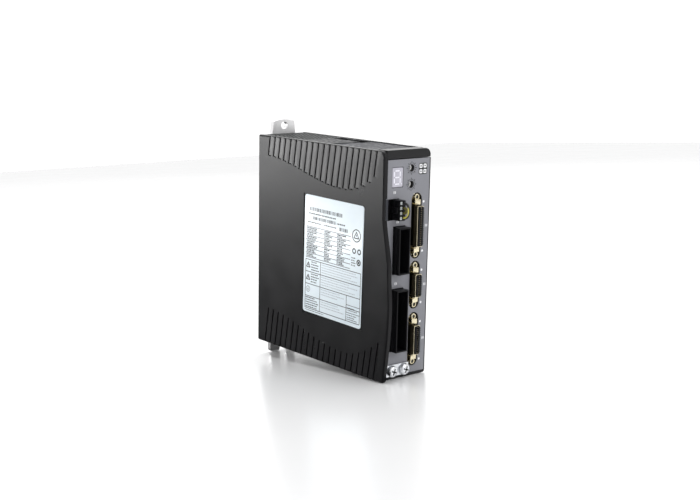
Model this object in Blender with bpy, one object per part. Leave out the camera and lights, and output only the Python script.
"""Slim panel-mount servo drive, modelled as the separate pieces it is assembled from.

Dimensions are written in millimetres in panel coordinates: x to the right across the front
panel from the outer face of the left cover, y into the case from the front panel, z up from
the underside of the case.  The part's own frame is in metres, with its origin in the middle
of the rear mounting face, +Z up, and the front panel facing -Y.
"""
import math

import bmesh
import bpy
from mathutils import Matrix, Vector

# ---------------------------------------------------------------- driving dimensions (mm)
WIDTH = 37.5
HEIGHT = 135.0
DEPTH = 120.0
GAP = 0.3                       # clearance between neighbouring pieces

COVER_WALL = 2.8                # left cover
SIDE_WALL = 2.1                 # right cover
PANEL_T = 1.8                   # top and bottom panels
PLATE_T = 3.0                   # rear mounting plate
PLATE_FRONT = DEPTH + 0.2
PLATE_BACK = PLATE_FRONT + PLATE_T

RIM_PLAIN = 1.4                 # how far the left cover's front rim stands out at the top
CAP_BOTTOM = 130.1
CAP_TOP = 135.3
CAP_BACK = 7.0
BEZEL_T = 2.7
BEZEL_TOP = CAP_BOTTOM - GAP
OVERLAY_T = 0.3
INNER_LEFT = COVER_WALL + GAP
INNER_RIGHT = WIDTH - SIDE_WALL - GAP

LOUVRE_PITCH = 5.38
LOUVRE_DEPTH = 0.6
LOUVRE_RUN = 4.5                # length of each ramp, front to back
LOUVRE_SLANT = math.radians(9.0)

LABEL_CENTRE = (43.5, 65.5)     # y, z on the left cover
LABEL_SIZE = (55.5, 73.5)
LABEL_TURN = math.radians(1.0)

WINDOW = (7.7, 15.7, 113.9, 125.1)
DIAL_PLACES = {"upper": (22.4, 124.3), "lower": (22.3, 114.8)}
DIAL_R = 1.75
DIAL_FRONT = 2.0                # the dials sit behind their holes in the panel
SWITCH_HALF = 3.6

STO_CENTRE = (10.75, 101.1)     # safety plug
STO_HALF = (2.25, 5.9)
STO_PITCH = 2.9
STO_REACH = 6.1                 # how far the safety plug stands out of the panel
WIRE_X = 11.7
WIRE_R = 0.75
HEADER_REACH = 5.2              # how far the pluggable headers stand out of the panel

POWER_HEADER = (9.6, 18.3, 63.2, 90.8)
MOTOR_HEADER = (9.1, 18.0, 17.0, 54.0)
HEADER_PITCH = 5.08
HEADER_BACK = 12.0
HEADER_FLOOR = 6.0

IO_X = 27.1
IO_CONNECTORS = {"upper": (90.2, 36, 33.9), "middle": (54.9, 20, 23.7), "lower": (22.0, 26, 27.5)}
IO_PIN_PITCH = 1.27
IO_REACH = 4.3
IO_HALF_WIDTH = 2.6

GROUND_SCREWS = {"left": 9.7, "right": 19.2}
GROUND_Z = 5.3
JACK_YS = {"front": 55.5, "rear": 70.5}
JACK_X = (25.2, 33.6)
CONTROL_BOARD_X = (33.9, 35.1)
POWER_BOARD_X = (3.4, 5.0)

# ---------------------------------------------------------------- collections and materials
PARTS = "servo_drive"
CUTTERS = "cutters"


def clear_scene():
    for obj in list(bpy.data.objects):
        bpy.data.objects.remove(obj, do_unlink=True)
    for name in (PARTS, CUTTERS):
        collection = bpy.data.collections.new(name)
        bpy.context.scene.collection.children.link(collection)


def paint(obj, colour, roughness, metallic=0.0):
    material = bpy.data.materials.new(obj.name + "_finish")
    material.use_nodes = True
    shader = material.node_tree.nodes["Principled BSDF"]
    shader.inputs["Base Color"].default_value = (*colour, 1.0)
    shader.inputs["Roughness"].default_value = roughness
    shader.inputs["Metallic"].default_value = metallic
    obj.data.materials.clear()
    obj.data.materials.append(material)


BLACK_PLASTIC = ((0.022, 0.022, 0.024), 0.45)
BLACK_MOULDING = ((0.012, 0.012, 0.013), 0.4)
PANEL_GREY = ((0.24, 0.24, 0.27), 0.5)
BARE_ALUMINIUM = ((0.78, 0.78, 0.79), 0.3, 1.0)
PALE_GOLD = ((0.72, 0.64, 0.45), 0.28, 1.0)
NICKEL = ((0.62, 0.62, 0.63), 0.25, 1.0)
WHITE_PLASTIC = ((0.8, 0.8, 0.78), 0.5)
BOARD_GREEN = ((0.03, 0.16, 0.07), 0.45)


# ---------------------------------------------------------------- modelling helpers
def place(x, y, z):
    """A point in panel millimetres as a point of the part's frame in metres."""
    return Vector((x - WIDTH / 2, y - PLATE_BACK, z - HEIGHT / 2)) * 0.001


def add(name, mesh, collection=PARTS):
    obj = bpy.data.objects.new(name, mesh)
    bpy.data.collections[collection].objects.link(obj)
    return obj


def mesh_from(bm, name):
    mesh = bpy.data.meshes.new(name)
    bm.to_mesh(mesh)
    bm.free()
    return mesh


def box(name, xs, ys, zs, bevel=0.0, segments=1):
    """A block between pairs of limits, with its edges rounded by bevel millimetres."""
    bm = bmesh.new()
    bmesh.ops.create_cube(bm, size=1.0)
    size = Vector((xs[1] - xs[0], ys[1] - ys[0], zs[1] - zs[0])) * 0.001
    centre = place(sum(xs) / 2, sum(ys) / 2, sum(zs) / 2)
    bmesh.ops.scale(bm, vec=size, verts=bm.verts)
    bmesh.ops.translate(bm, vec=centre, verts=bm.verts)
    if bevel:
        bmesh.ops.bevel(bm, geom=bm.edges[:], offset=bevel * 0.001, segments=segments,
                        affect="EDGES", profile=0.5, material=-1)
    return add(name, mesh_from(bm, name))


TURN_TO_AXIS = {
    "X": Matrix.Rotation(math.pi / 2, 4, "Y"),
    "Y": Matrix.Rotation(-math.pi / 2, 4, "X"),
    "Z": Matrix.Identity(4),
}


def rod(name, centre, radius, limits, axis="Y", sides=24, tip_radius=None):
    """A cylinder along an axis; centre gives the two coordinates across the axis, in order."""
    low, high = limits
    middle = (low + high) / 2
    point = list(centre)
    point.insert("XYZ".index(axis), middle)
    end_radius = radius if tip_radius is None else tip_radius
    bm = bmesh.new()
    bmesh.ops.create_cone(bm, cap_ends=True, segments=sides, radius1=radius * 0.001,
                          radius2=end_radius * 0.001, depth=(high - low) * 0.001)
    bmesh.ops.transform(bm, matrix=Matrix.Translation(place(*point)) @ TURN_TO_AXIS[axis],
                        verts=bm.verts)
    return add(name, mesh_from(bm, name))


PLANES = {
    # local x and y of the outline, and the direction of its thickness
    "front": Matrix(((1, 0, 0, 0), (0, 0, 1, 0), (0, 1, 0, 0), (0, 0, 0, 1))),
    "side": Matrix(((0, 0, 1, 0), (1, 0, 0, 0), (0, 1, 0, 0), (0, 0, 0, 1))),
}


def plate(name, points, limits, plane="front"):
    """A flat outline (x, z) or (y, z), thickened between two limits across its plane."""
    curve = bpy.data.curves.new(name, "CURVE")
    curve.dimensions = "2D"
    curve.fill_mode = "BOTH"
    curve.extrude = (limits[1] - limits[0]) / 2 * 0.001
    spline = curve.splines.new("POLY")
    spline.points.add(len(points) - 1)
    for target, (a, b) in zip(spline.points, points):
        target.co = (a * 0.001, b * 0.001, 0.0, 1.0)
    spline.use_cyclic_u = True
    sketch = add(name + "_sketch", curve)
    middle = (limits[0] + limits[1]) / 2
    offset = place(0.0, middle, 0.0) if plane == "front" else place(middle, 0.0, 0.0)
    return solid_from(sketch, name, Matrix.Translation(offset) @ PLANES[plane])


def solid_from(sketch, name, matrix):
    """Turn a curve into a welded mesh object and drop the curve."""
    bpy.context.view_layer.update()
    evaluated = sketch.evaluated_get(bpy.context.evaluated_depsgraph_get())
    mesh = bpy.data.meshes.new_from_object(evaluated)
    bm = bmesh.new()
    bm.from_mesh(mesh)
    bmesh.ops.remove_doubles(bm, verts=bm.verts, dist=0.000002)
    bmesh.ops.transform(bm, matrix=matrix, verts=bm.verts)
    bmesh.ops.recalc_face_normals(bm, faces=bm.faces)
    bm.to_mesh(mesh)
    bm.free()
    bpy.data.objects.remove(sketch, do_unlink=True)
    mesh.name = name
    return add(name, mesh)


def tube(name, points, radius):
    """A round wire through a list of panel points."""
    curve = bpy.data.curves.new(name, "CURVE")
    curve.dimensions = "3D"
    curve.bevel_depth = radius * 0.001
    curve.bevel_resolution = 2
    curve.use_fill_caps = True
    spline = curve.splines.new("POLY")
    spline.points.add(len(points) - 1)
    for target, point in zip(spline.points, points):
        target.co = (*place(*point), 1.0)
    return solid_from(add(name + "_sketch", curve), name, Matrix.Identity(4))


def as_tool(objects, name):
    """Join helper solids into one hidden tool object."""
    bm = bmesh.new()
    for obj in objects:
        bm.from_mesh(obj.data)
        bpy.data.objects.remove(obj, do_unlink=True)
    tool = add(name, mesh_from(bm, name), CUTTERS)
    tool.hide_render = True
    tool.display_type = "WIRE"
    return tool


def boolean(obj, operation, objects):
    count = sum(1 for m in obj.modifiers if m.type == "BOOLEAN")
    modifier = obj.modifiers.new(operation.lower(), "BOOLEAN")
    modifier.operation = operation
    modifier.solver = "EXACT"
    modifier.object = as_tool(objects, f"{obj.name}_tool_{count}")
    return obj


def cut(obj, *tools):
    return boolean(obj, "DIFFERENCE", tools)


def fuse(obj, *pieces):
    for piece in pieces:
        boolean(obj, "UNION", [piece])
    return obj


def hang_on_pivot(obj, pivot):
    """Put a moving piece's origin at a point of its joint's axis."""
    centre = place(*pivot)
    obj.data.transform(Matrix.Translation(-centre))
    obj.location = centre


def arc(cx, cy, radius, start, end, steps=5):
    angles = [math.radians(start + (end - start) * i / steps) for i in range(steps + 1)]
    return [(cx + radius * math.cos(a), cy + radius * math.sin(a)) for a in angles]


def rounded_rectangle(x0, x1, z0, z1, radius, steps=4):
    return (arc(x1 - radius, z1 - radius, radius, 0, 90, steps)
            + arc(x0 + radius, z1 - radius, radius, 90, 180, steps)
            + arc(x0 + radius, z0 + radius, radius, 180, 270, steps)
            + arc(x1 - radius, z0 + radius, radius, 270, 360, steps))


def smooth(t):
    t = min(max(t, 0.0), 1.0)
    return t * t * (3 - 2 * t)


# ---------------------------------------------------------------- case
def rim_reach(z):
    """How far the left cover's front rim stands out of the panel at height z."""
    shoulder = 5.3 * smooth((100.0 - z) / 35.0)
    belly = 1.2 * smooth((65.0 - z) / 20.0)
    tuck = 4.0 * (1.0 - math.cos(math.pi * max(45.0 - z, 0.0) / 90.0))
    return RIM_PLAIN + shoulder + belly - tuck


def louvre_tip(back):
    """Height of the upper louvres' lower ends at a distance from the back of the case."""
    if back < 84.0:
        return 109.8 + 12.7 * smooth((84.0 - back) / 75.0)
    return 109.8 + 8.2 * (max(back - 86.0, 0.0) / 25.0) ** 2


def louvre_tool(name, wall_x, side, back, z_low, z_high):
    """A slanted bar, turned so that it cuts a saw-tooth ramp, deep at its rear edge."""
    middle = (z_low + z_high) / 2
    length = z_high - z_low
    bar = box(name, (0.0, 2.0), (-LOUVRE_RUN, 0.0), (-length / 2, length / 2))
    to_corner = Matrix.Translation(-place(0.0, 0.0, 0.0))
    ramp = math.atan2(LOUVRE_DEPTH, LOUVRE_RUN)
    flip = Matrix.Scale(-1.0, 4, (1, 0, 0)) if side > 0 else Matrix.Identity(4)
    slide_in = Matrix.Translation(Vector((LOUVRE_DEPTH - 2.0, 0.0, 0.0)) * 0.001)
    turn = Matrix.Rotation(-ramp, 4, "Z")
    slant = Matrix.Rotation(LOUVRE_SLANT, 4, "X")
    bar.data.transform(to_corner)
    bar.data.transform(slant @ flip @ turn @ slide_in)
    bar.data.transform(Matrix.Translation(place(wall_x, DEPTH - back, middle)))
    if side > 0:
        bar.data.flip_normals()
    return bar


def louvres(obj, wall_x, side):
    tools = []
    for i in range(20):
        back = 11.3 + LOUVRE_PITCH * i
        tools.append(louvre_tool("louvre", wall_x, side, back, louvre_tip(back), HEIGHT + 2.0))
    for i in range(21):
        back = 9.5 + LOUVRE_PITCH * i
        tools.append(louvre_tool("louvre", wall_x, side, back, -2.0, louvre_tip(back) - 98.6))
    return cut(obj, *tools)


def boss(name, xs, z):
    return box(name, xs, (106.0, DEPTH - GAP), (z - 4.0, z + 4.0))


SCREW_ZS = (10.0, 125.0)
SCREW_XS = {"left": 8.0, "right": 32.0}


def left_side_cover():
    rim = [(-rim_reach(z), z) for z in (130.9 - 4.5 * i for i in range(29))]
    outline = (rim + arc(-rim_reach(1.5) + 1.5, 1.5, 1.5, 190, 270, 3)
               + arc(DEPTH - 1.0, 1.0, 1.0, 270, 360, 3)
               + arc(DEPTH - 1.0, HEIGHT - 1.0, 1.0, 0, 90, 3)
               + arc(-RIM_PLAIN + 4.0, HEIGHT - 4.0, 4.0, 90, 180, 6))
    cover = plate("left_side_cover", outline, (0.0, COVER_WALL), "side")
    bosses = [boss("boss", (COVER_WALL - 0.4, 11.5), z) for z in SCREW_ZS]
    fuse(cover, *bosses)
    louvres(cover, 0.0, -1)
    y, z = LABEL_CENTRE
    half_y = LABEL_SIZE[0] / 2 + 1.0
    half_z = LABEL_SIZE[1] / 2 + 1.0
    recess = box("recess", (-1.0, 0.5), (y - half_y, y + half_y), (z - half_z, z + half_z))
    latch_notch = box("notch", (1.5, 4.0), (-4.0, 4.0), (95.5, 108.0))
    bores = [rod("bore", (SCREW_XS["left"], z), 1.7, (104.0, 122.0), sides=12) for z in SCREW_ZS]
    cut(cover, recess, latch_notch, *bores)
    paint(cover, *BLACK_PLASTIC)


def right_side_cover():
    x0 = WIDTH - SIDE_WALL
    cover = box("right_side_cover", (x0, WIDTH), (BEZEL_T + GAP, DEPTH), (0.0, HEIGHT), 0.4)
    fuse(cover, *[boss("boss", (28.5, x0 + 0.4), z) for z in SCREW_ZS])
    louvres(cover, WIDTH, 1)
    cap_notch = box("notch", (x0 - 1.0, WIDTH + 1.0), (0.0, CAP_BACK + GAP),
                    (BEZEL_TOP, HEIGHT + 1.0))
    bores = [rod("bore", (SCREW_XS["right"], z), 1.7, (104.0, 122.0), sides=12) for z in SCREW_ZS]
    cut(cover, cap_notch, *bores)
    paint(cover, *BLACK_PLASTIC)


def top_panel():
    panel = box("top_panel", (INNER_LEFT, INNER_RIGHT), (CAP_BACK + GAP, DEPTH),
                (HEIGHT - 0.2 - PANEL_T, HEIGHT - 0.2))
    holes = [box("hole", (JACK_X[0] + 0.6, JACK_X[1] - 0.4), (y - 6.3, y + 6.3), (130.0, 137.0))
             for y in JACK_YS.values()]
    for i in range(8):
        y = 82.0 + 4.6 * i
        holes.append(box("slot", (6.5, 17.8), (y - 1.3, y + 1.3), (130.0, 137.0)))
        holes.append(box("slot", (20.2, 31.5), (y - 1.3, y + 1.3), (130.0, 137.0)))
    cut(panel, *holes)
    paint(panel, *PANEL_GREY)


def bottom_panel():
    panel = box("bottom_panel", (INNER_LEFT, INNER_RIGHT), (BEZEL_T + GAP, DEPTH),
                (0.2, 0.2 + PANEL_T))
    slots = []
    for i in range(18):
        y = 24.0 + 5.0 * i
        slots.append(box("slot", (6.5, 17.8), (y - 1.4, y + 1.4), (-2.0, 4.0)))
        slots.append(box("slot", (20.2, 31.5), (y - 1.4, y + 1.4), (-2.0, 4.0)))
    cut(panel, *slots)
    paint(panel, *BLACK_PLASTIC)


def top_front_cap():
    right = WIDTH - 0.1
    outline = ([(INNER_LEFT, CAP_BOTTOM), (right, CAP_BOTTOM)]
               + arc(right - 4.0, CAP_TOP - 4.0, 4.0, 0, 90, 6)
               + [(INNER_LEFT, CAP_TOP)])
    cap = plate("top_front_cap", outline, (-0.1, CAP_BACK))
    cut(cap, box("hollow", (INNER_LEFT + 1.8, right - 1.8), (1.7, CAP_BACK + 1.0),
                 (CAP_BOTTOM - 1.0, CAP_TOP - 2.0)))
    paint(cap, *BLACK_MOULDING)


def io_slot_outline(z, spacing, half_width):
    """Outline of the long round-ended opening around one I/O connector."""
    middle = spacing / 2 + 2.5 - 3.95
    return (arc(IO_X, z + middle, half_width, 0, 180, 8)
            + arc(IO_X, z - middle, half_width, 180, 360, 8))


def panel_openings(grow):
    """Tools for every opening that the bezel and the overlay share."""
    deep = (-2.0, BEZEL_T + 2.0)
    tools = []
    x0, x1, z0, z1 = WINDOW
    tools.append(box("window", (x0 - GAP, x1 + GAP), deep, (z0 - GAP, z1 + GAP)))
    for place_xz in DIAL_PLACES.values():
        tools.append(rod("dial_hole", place_xz, 2.05 + grow, deep, sides=24))
    x, z = STO_CENTRE
    hx, hz = STO_HALF
    tools.append(box("sto", (x - hx - GAP, x + hx + GAP), deep, (z - hz - GAP, z + hz + GAP)))
    for x0, x1, z0, z1 in (POWER_HEADER, MOTOR_HEADER):
        tools.append(box("header", (x0 - GAP - grow, x1 + GAP + grow), deep,
                         (z0 - GAP - grow, z1 + GAP + grow)))
    for z, pins, spacing in IO_CONNECTORS.values():
        outline = io_slot_outline(z, spacing, 3.95 + grow)
        tools.append(plate("io_slot", outline, deep))
    for x in GROUND_SCREWS.values():
        tools.append(rod("ground_hole", (x, GROUND_Z), 2.2, deep, sides=16))
    return tools


def latch_pocket():
    """Finger pocket in the panel beside the safety plug."""
    x, z = STO_CENTRE
    left = x - STO_HALF[0] - GAP
    return box("pocket", (4.8, left + 0.1), (-1.0, 1.5), (z - 6.2, z + 6.2))


def front_bezel():
    right = WIDTH - 0.1
    outline = ([(INNER_LEFT, 0.0)] + arc(right - 1.5, 1.5, 1.5, 270, 360, 4)
               + [(right, BEZEL_TOP), (INNER_LEFT, BEZEL_TOP)])
    bezel = plate("front_bezel", outline, (0.0, BEZEL_T))
    cut(bezel, box("recess", (0.0, 36.8), (-1.0, 2 * OVERLAY_T), (1.5, BEZEL_TOP + 1.0)))
    cut(bezel, *panel_openings(0.0))
    cut(bezel, latch_pocket())
    paint(bezel, *BLACK_MOULDING)


def front_overlay():
    overlay = box("front_overlay", (INNER_LEFT + 0.1, 36.6), (0.0, OVERLAY_T),
                  (1.8, BEZEL_TOP - 0.1))
    cut(overlay, *panel_openings(0.15))
    cut(overlay, latch_pocket())
    paint(overlay, *PANEL_GREY)


def rear_mounting_plate():
    root = 4.0
    top_tab = ([(29.9, HEIGHT - root)] + arc(20.5, 118.0, 25.9, 71.5, 108.5, 6)
               + [(10.5, HEIGHT - root)])
    slot = 2.6
    slot_top = -3.5
    prong_low = -10.7
    foot = ([(10.2, root)]
            + arc(13.3, prong_low + 2.5, 2.5, 180, 270, 4)
            + arc(21.0 - slot - 1.2, prong_low + 1.2, 1.2, 270, 360, 3)
            + arc(21.0, slot_top, slot, 180, 0, 8)
            + arc(21.0 + slot + 1.2, prong_low + 1.2, 1.2, 180, 270, 3)
            + arc(27.7, prong_low + 2.5, 2.5, 270, 360, 4)
            + [(30.6, root)])
    thickness = (PLATE_FRONT, PLATE_BACK)
    rear = box("rear_mounting_plate", (3.3, 37.2), thickness, (0.3, HEIGHT - 0.3))
    fuse(rear, plate("top_tab", top_tab, thickness), plate("foot", foot, thickness))
    tools = [rod("hole", (20.5, 140.0), 2.5, (118.0, 126.0), sides=24)]
    for x in SCREW_XS.values():
        for z in SCREW_ZS:
            tools.append(rod("bore", (x, z), 1.7, (118.0, 122.0), sides=16))
            tools.append(rod("sink", (x, z), 2.9, (121.5, 126.0), sides=16))
    for tool in tools:
        cut(rear, tool)
    paint(rear, *BARE_ALUMINIUM)


def rear_plate_screws():
    for side, x in SCREW_XS.items():
        for level, z in zip(("lower", "upper"), SCREW_ZS):
            screw = rod(f"plate_screw_{level}_{side}", (x, z), 2.6, (121.8, PLATE_BACK - 0.1),
                        sides=16)
            fuse(screw, rod("shank", (x, z), 1.35, (109.0, 122.0), sides=12))
            paint(screw, *NICKEL)


def applied(obj):
    """Bake an object's modifiers into its mesh, so that its origin can be moved."""
    bpy.context.view_layer.update()
    evaluated = obj.evaluated_get(bpy.context.evaluated_depsgraph_get())
    mesh = bpy.data.meshes.new_from_object(evaluated)
    obj.modifiers.clear()
    obj.data = mesh
    return obj


def rating_label():
    y, z = LABEL_CENTRE
    half_y, half_z = LABEL_SIZE[0] / 2, LABEL_SIZE[1] / 2
    outline = rounded_rectangle(-half_y, half_y, -half_z, half_z, 1.8)
    cosine, sine = math.cos(LABEL_TURN), math.sin(LABEL_TURN)
    turned = [(y + a * cosine - b * sine, z + a * sine + b * cosine) for a, b in outline]
    label = plate("rating_label", turned, (0.0, 0.2), "side")
    paint(label, (0.72, 0.78, 0.78), 0.4)


# ---------------------------------------------------------------- front controls
def display():
    x0, x1, z0, z1 = WINDOW
    window = box("display_window", (x0, x1), (0.05, 1.3), (z0, z1), 0.15)
    paint(window, (0.5, 0.5, 0.56), 0.15)
    module = box("display_module", (x0 - 1.0, x1 + 1.0), (3.0, 9.7), (z0 - 0.8, z1 + 0.8), 0.2)
    paint(module, (0.3, 0.3, 0.33), 0.4)
    board = box("interface_board", (5.0, 33.6), (10.0, 11.2), (110.2, 129.0))
    paint(board, *BOARD_GREEN)


def address_switches():
    for name, (x, z) in DIAL_PLACES.items():
        body = box(f"{name}_switch_body", (x - SWITCH_HALF, x + SWITCH_HALF), (3.0, 9.7),
                   (z - SWITCH_HALF, z + SWITCH_HALF), 0.2)
        cut(body, rod("bore", (x, z), DIAL_R + GAP, (2.0, 7.0), sides=24))
        paint(body, *BLACK_MOULDING)
        dial = rod(f"{name}_address_dial", (x, z), DIAL_R, (DIAL_FRONT, 6.7), sides=24)
        cut(dial, box("groove", (x - 0.3, x + 0.3), (0.0, DIAL_FRONT + 0.6),
                      (z - 1.3, z + 1.3)))
        applied(dial)
        hang_on_pivot(dial, (x, DIAL_FRONT, z))
        paint(dial, *WHITE_PLASTIC)


def loop_points(half_span, apex):
    """A wire loop: straight out of one plug hole, round an arch and back into another."""
    z = STO_CENTRE[1]
    face = -STO_REACH - GAP
    seat = -4.2
    steps = 12
    points = [(WIRE_X, seat, z + half_span)]
    for i in range(steps + 1):
        angle = math.pi * i / steps
        points.append((WIRE_X, face - (apex + face) * math.sin(angle) ** 0.8,
                       z + half_span * math.cos(angle)))
    points.append((WIRE_X, seat, z - half_span))
    return points


def safety_plug():
    x, z = STO_CENTRE
    hx, hz = STO_HALF
    socket = box("sto_socket", (x - hx - 1.2, x + hx + 1.2), (3.0, 14.0),
                 (z - hz - 1.2, z + hz + 1.2), 0.2)
    cut(socket, box("cavity", (x - hx - GAP, x + hx + GAP), (2.0, 9.2),
                    (z - hz - GAP, z + hz + GAP)))
    paint(socket, *BLACK_MOULDING)
    plug = box("sto_plug", (x - hx, x + hx), (-STO_REACH, 8.7), (z - hz, z + hz), 0.25)
    fuse(plug, box("latch", (x - hx - 0.9, x - hx + 0.4), (-4.6, 1.0), (z - 1.7, z + 1.7)))
    paint(plug, *BLACK_MOULDING)
    pocket_zs = [z + STO_PITCH * (i - 1.5) for i in range(4)]
    cut(plug, *[box("pocket", (WIRE_X - 1.0, WIRE_X + 1.0), (-9.0, -3.5), (p - 1.0, p + 1.0))
                for p in pocket_zs])
    outer = tube("sto_jumper_outer", loop_points(1.5 * STO_PITCH, 11.1 - WIRE_R), WIRE_R)
    paint(outer, (0.75, 0.55, 0.05), 0.45)
    inner = tube("sto_jumper_inner", loop_points(0.5 * STO_PITCH, 8.9 - WIRE_R), WIRE_R)
    paint(inner, (0.3, 0.24, 0.04), 0.45)


def pluggable_header(name, limits, count):
    """Open-fronted header for a screw-terminal plug, with its row of pins."""
    x0, x1, z0, z1 = limits
    header = box(name, (x0, x1), (-HEADER_REACH, HEADER_BACK), (z0, z1), 0.2)
    fuse(header, box("base", (POWER_BOARD_X[1] + GAP, x0 + 1.0), (3.0, HEADER_BACK - 0.5),
                     (z0 + 0.5, z1 - 0.5)))
    wall = 1.0
    cut(header, box("cavity", (x0 + wall, x1 - wall), (-9.0, HEADER_FLOOR),
                    (z0 + wall, z1 - wall)))
    centre_x = (x0 + x1) / 2
    for i in range(count):
        z = (z0 + z1) / 2 + HEADER_PITCH * (i - (count - 1) / 2)
        fuse(header, box("pin", (centre_x - 0.5, centre_x + 0.5), (-0.5, HEADER_FLOOR + 1.0),
                         (z - 0.5, z + 0.5)))
    paint(header, *BLACK_MOULDING)


# ---------------------------------------------------------------- I/O connectors
def io_connector(name, z, positions, spacing):
    """Shielded two-row connector: shell, slotted insulator and the bracket with jack sockets."""
    half = positions / 4 * IO_PIN_PITCH + 0.6
    wall = 0.45
    back = 4.0
    reach = -IO_REACH
    shell_outline = rounded_rectangle(IO_X - IO_HALF_WIDTH, IO_X + IO_HALF_WIDTH,
                                      z - half, z + half, 1.0, 3)
    inner_outline = rounded_rectangle(IO_X - IO_HALF_WIDTH + wall, IO_X + IO_HALF_WIDTH - wall,
                                      z - half + wall, z + half - wall, 0.6, 3)
    shell = plate(name + "_io_shell", shell_outline, (reach, back))
    cut(shell, plate("inside", inner_outline, (reach - 1.0, back + 1.0)))
    paint(shell, *PALE_GOLD)

    bracket_half = spacing / 2 + 3.0
    bracket = box(name + "_jack_bracket", (IO_X - 3.5, IO_X + 3.5), (3.1, back),
                  (z - bracket_half, z + bracket_half), 0.1)
    cut(bracket, box("opening", (IO_X - IO_HALF_WIDTH - GAP, IO_X + IO_HALF_WIDTH + GAP),
                     (2.0, back + 1.0), (z - half - GAP, z + half + GAP)))
    ends = [z - spacing / 2, z + spacing / 2]
    for end, side in zip(ends, (-1, 1)):
        fuse(bracket, rod("socket", (IO_X, end), 2.5, (-0.4, back - 0.3), sides=6))
        foot = sorted((end - side * 1.3, z + side * (half + GAP)))
        fuse(bracket, box("foot", (IO_X - 2.2, IO_X + 2.2), (-1.2, back - 0.4), foot))
    cut(bracket, *[rod("thread", (IO_X, end), 1.05, (-1.5, 6.0), sides=12) for end in ends])
    paint(bracket, *PALE_GOLD)

    body = rounded_rectangle(IO_X - IO_HALF_WIDTH + wall + GAP, IO_X + IO_HALF_WIDTH - wall - GAP,
                             z - half + wall + GAP, z + half - wall - GAP, 0.4, 2)
    insulator = plate(name + "_io_insulator", body, (reach + 0.4, 6.0))
    fuse(insulator, box("base", (IO_X - 3.2, CONTROL_BOARD_X[0] - GAP), (back + GAP, 13.0),
                        (z - half - 0.8, z + half + 0.8)))
    slot_half = half - wall - GAP - 0.8
    cut(insulator, box("slot", (IO_X - 1.25, IO_X + 1.25), (reach - 1.0, 2.5),
                       (z - slot_half, z + slot_half)))
    paint(insulator, *BLACK_MOULDING)


# ---------------------------------------------------------------- ground terminal
def ground_terminal():
    plate_piece = box("ground_plate", (4.9, 23.2), (-1.1, -0.3), (1.9, 8.9), 0.15)
    cut(plate_piece, *[rod("hole", (x, GROUND_Z), 2.1, (-3.0, 1.0), sides=16)
                       for x in GROUND_SCREWS.values()])
    paint(plate_piece, *NICKEL)
    block = box("ground_terminal_block", (5.2, 22.6), (3.1, 10.0), (2.4, 8.6), 0.2)
    cut(block, *[rod("hole", (x, GROUND_Z), 2.0, (2.0, 11.0), sides=16)
                 for x in GROUND_SCREWS.values()])
    paint(block, *NICKEL)
    for name, x in GROUND_SCREWS.items():
        head = rod(f"ground_screw_{name}", (x, GROUND_Z), 3.1, (-3.9, -1.4), sides=24,
                   tip_radius=3.5)
        fuse(head, rod("shank", (x, GROUND_Z), 1.65, (-2.0, 9.5), sides=12))
        cut(head, box("cross", (x - 2.0, x + 2.0), (-5.0, -2.7), (GROUND_Z - 0.4, GROUND_Z + 0.4)))
        cut(head, box("cross", (x - 0.4, x + 0.4), (-5.0, -2.7), (GROUND_Z - 2.0, GROUND_Z + 2.0)))
        applied(head)
        hang_on_pivot(head, (x, -1.4, GROUND_Z))
        paint(head, *NICKEL)


# ---------------------------------------------------------------- top network jacks
def network_jacks():
    for name, y in JACK_YS.items():
        jack = box(f"{name}_network_jack", JACK_X, (y - 7.2, y + 7.2), (117.5, 132.7), 0.3)
        cut(jack, box("cavity", (JACK_X[0] + 1.0, JACK_X[1] - 0.9), (y - 5.9, y + 5.9),
                      (119.0, 134.0)))
        paint(jack, (0.03, 0.03, 0.035), 0.4)


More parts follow.
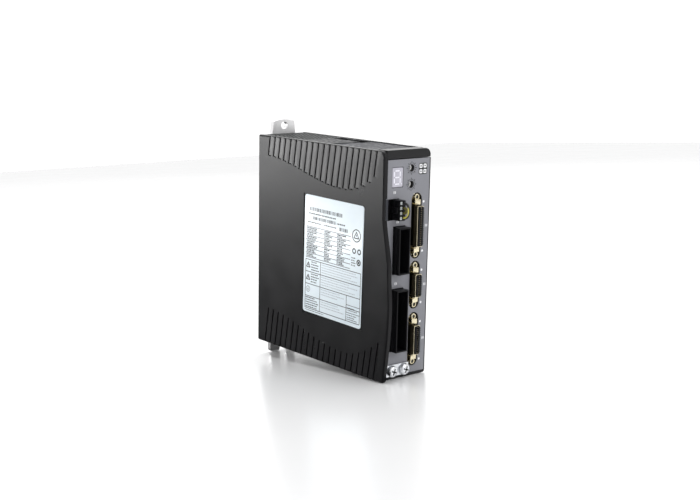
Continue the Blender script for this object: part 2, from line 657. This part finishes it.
# ---------------------------------------------------------------- electronics
def electronics():
    cx0, cx1 = CONTROL_BOARD_X
    px0, px1 = POWER_BOARD_X
    on_power = px1 + GAP
    under_control = cx0 - GAP
    paint(box("control_board", (cx0, cx1), (5.0, 105.0), (4.0, 129.5)), *BOARD_GREEN)
    paint(box("power_board", (px0, px1), (5.0, 105.0), (4.0, 129.5)), *BOARD_GREEN)
    posts = {"lower_front": (22.0, 8.0), "lower_rear": (100.0, 8.0),
             "upper_front": (33.0, 124.0), "upper_rear": (100.0, 124.0)}
    for name, (y, z) in posts.items():
        paint(rod(f"standoff_{name}", (y, z), 2.2, (on_power, under_control), "X", sides=6),
              *NICKEL)
    paint(box("board_connector", (on_power, under_control), (86.0, 91.0), (52.0, 82.0), 0.2),
          *BLACK_MOULDING)

    for name, y in (("front", 32.0), ("middle", 56.5), ("rear", 81.0)):
        paint(rod(f"bus_capacitor_{name}", (y, 102.0), 11.0, (on_power, 31.0), "X", sides=32),
              (0.03, 0.03, 0.06), 0.4)
    for name, y, z in (("motion_processor", 36.0, 62.0), ("logic_array", 58.0, 30.0)):
        paint(box(name, (under_control - 1.5, under_control), (y - 8.0, y + 8.0),
                  (z - 8.0, z + 8.0), 0.1), (0.02, 0.02, 0.02), 0.5)

    module = box("power_module", (7.0, 33.0), (100.0, 107.4), (30.0, 48.0), 0.3)
    paint(module, (0.03, 0.03, 0.03), 0.5)
    paint(box("heat_spreader", (7.0, 33.0), (107.8, PLATE_FRONT - GAP), (18.0, 60.0), 0.3),
          *BARE_ALUMINIUM)
    paint(box("bridge_rectifier", (on_power, 9.5), (70.0, 90.0), (14.0, 36.0), 0.3),
          *BLACK_MOULDING)
    paint(box("inrush_relay", (on_power, 20.0), (62.0, 80.0), (64.0, 84.0), 0.3),
          (0.75, 0.75, 0.7), 0.5)

    core = box("supply_transformer", (on_power, 25.0), (32.0, 52.0), (38.0, 58.0), 0.4)
    fuse(core, rod("winding", (42.0, 48.0), 8.2, (7.0, 23.0), "X", sides=24))
    paint(core, (0.45, 0.35, 0.08), 0.5)

    choke = rod("emi_choke", (30.0, 24.0), 9.0, (on_power, 16.0), "X", sides=28)
    cut(choke, rod("bore", (30.0, 24.0), 3.6, (on_power - 1.0, 18.0), "X", sides=20))
    paint(choke, (0.4, 0.16, 0.06), 0.4)


# ---------------------------------------------------------------- assembly
def build():
    clear_scene()
    left_side_cover()
    right_side_cover()
    top_panel()
    bottom_panel()
    top_front_cap()
    front_bezel()
    front_overlay()
    rear_mounting_plate()
    rear_plate_screws()
    rating_label()
    display()
    address_switches()
    safety_plug()
    pluggable_header("power_header", POWER_HEADER, 5)
    pluggable_header("motor_header", MOTOR_HEADER, 7)
    for name, (z, positions, spacing) in IO_CONNECTORS.items():
        io_connector(name, z, positions, spacing)
    ground_terminal()
    network_jacks()
    electronics()


build()
